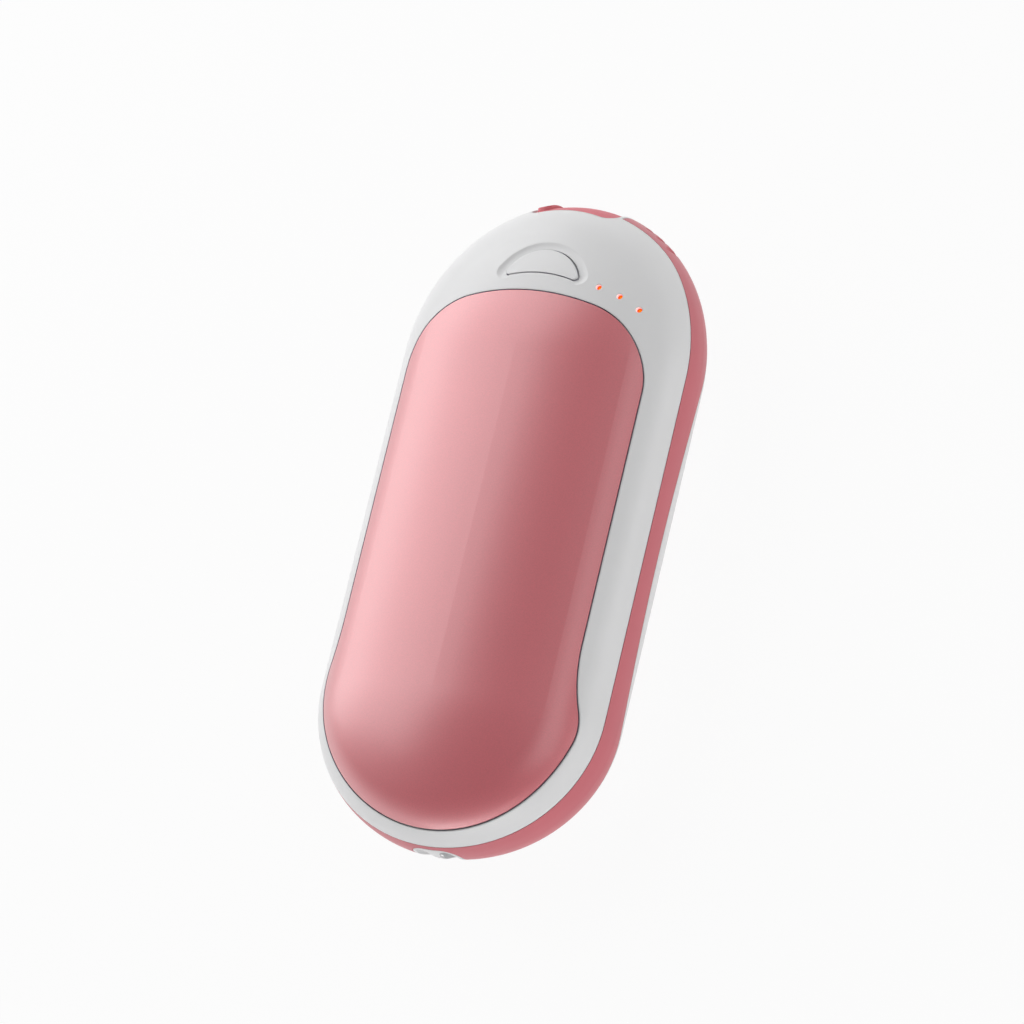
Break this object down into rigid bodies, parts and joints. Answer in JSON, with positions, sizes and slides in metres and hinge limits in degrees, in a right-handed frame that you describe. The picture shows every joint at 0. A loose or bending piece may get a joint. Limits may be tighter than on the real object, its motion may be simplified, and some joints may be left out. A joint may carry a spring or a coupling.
{
  "type": "rechargeable hand warmer",
  "caption": "Pebble-shaped rechargeable hand warmer with heated metal plates in a pink and white case, a crescent button, indicator lights, a port cover and a lanyard anchor.",
  "frame": {"origin": "on the flat of the rear plate that it rests on, half way along and across the body", "axes": "+Z out of the front plate, +Y along the body towards the ports, +X across to the grooved side"},
  "size_m": [0.048, 0.1007, 0.024],
  "materials": {
    "white_shell": "satin moulded plastic",
    "pink_band": "satin moulded plastic",
    "pink_silicone": "matt silicone",
    "pink_plate": "fine blasted and anodised",
    "adhesive": "transfer tape",
    "film": "amber film with etched tracks",
    "foam": "closed-cell foam",
    "black_epoxy": "moulded epoxy",
    "red_lens": "lit clear plastic",
    "cell_sleeve": "shrink sleeve",
    "black_plastic": "moulded",
    "nickel": "nickel plated",
    "black_wire": "soft insulation",
    "red_wire": "soft insulation",
    "board": "solder mask",
    "pale_chip": "moulded",
    "ferrite": "sintered",
    "ceramic": "fired ceramic",
    "white_core": "moulded",
    "zinc": "zinc plated"
  },
  "bodies": {
    "casing": {"front_shell": "white_shell", "rear_shell": "white_shell", "side_band": "pink_band", "lanyard_anchor": "white_shell", "cover_tether": "pink_silicone", "front_heat_plate": "pink_plate", "rear_heat_plate": "pink_plate", "front_plate_tape": "adhesive", "rear_plate_tape": "adhesive", "front_heater_film": "film", "rear_heater_film": "film", "front_heater_lead": "film", "rear_heater_lead": "film", "front_insulation_pad": "foam", "rear_insulation_pad": "foam", "temperature_sensor": "black_epoxy", "indicator_lenses": "red_lens", "cell_left": "cell_sleeve", "cell_right": "cell_sleeve", "lower_cell_holder": "black_plastic", "upper_cell_holder": "black_plastic", "lower_strip": "nickel", "upper_strip": "nickel", "negative_lead": "black_wire", "positive_lead": "red_wire", "circuit_board": "board", "switch_housing": "black_plastic", "indicator_chips": "pale_chip", "power_inductor": "ferrite", "control_chips": "black_epoxy", "board_capacitors": "ceramic", "outlet_shell": "nickel", "outlet_core": "white_core", "inlet_shell": "nickel", "inlet_core": "black_plastic", "port_plate": "white_shell", "case_screws": "zinc"},
    "button": {"power_button": "white_shell", "switch_plunger": "black_plastic"},
    "cover": {"port_cover": "pink_silicone"}
  },
  "joints": [
    {"name": "button_press", "type": "slide", "parent": "casing", "child": "button", "axis": [0, 0, -1], "range_m": [0, 0.00025], "stiffness_N_per_m": 1500, "springref_m": -0.0003},
    {"name": "cover_bend", "type": "hinge", "parent": "casing", "child": "cover", "pos_m": [0.0071, 0.04925, 0.0116], "axis": [0, 0, -1], "range_deg": [0, 110], "stiffness_Nm_per_rad": 0.02}
  ]
}
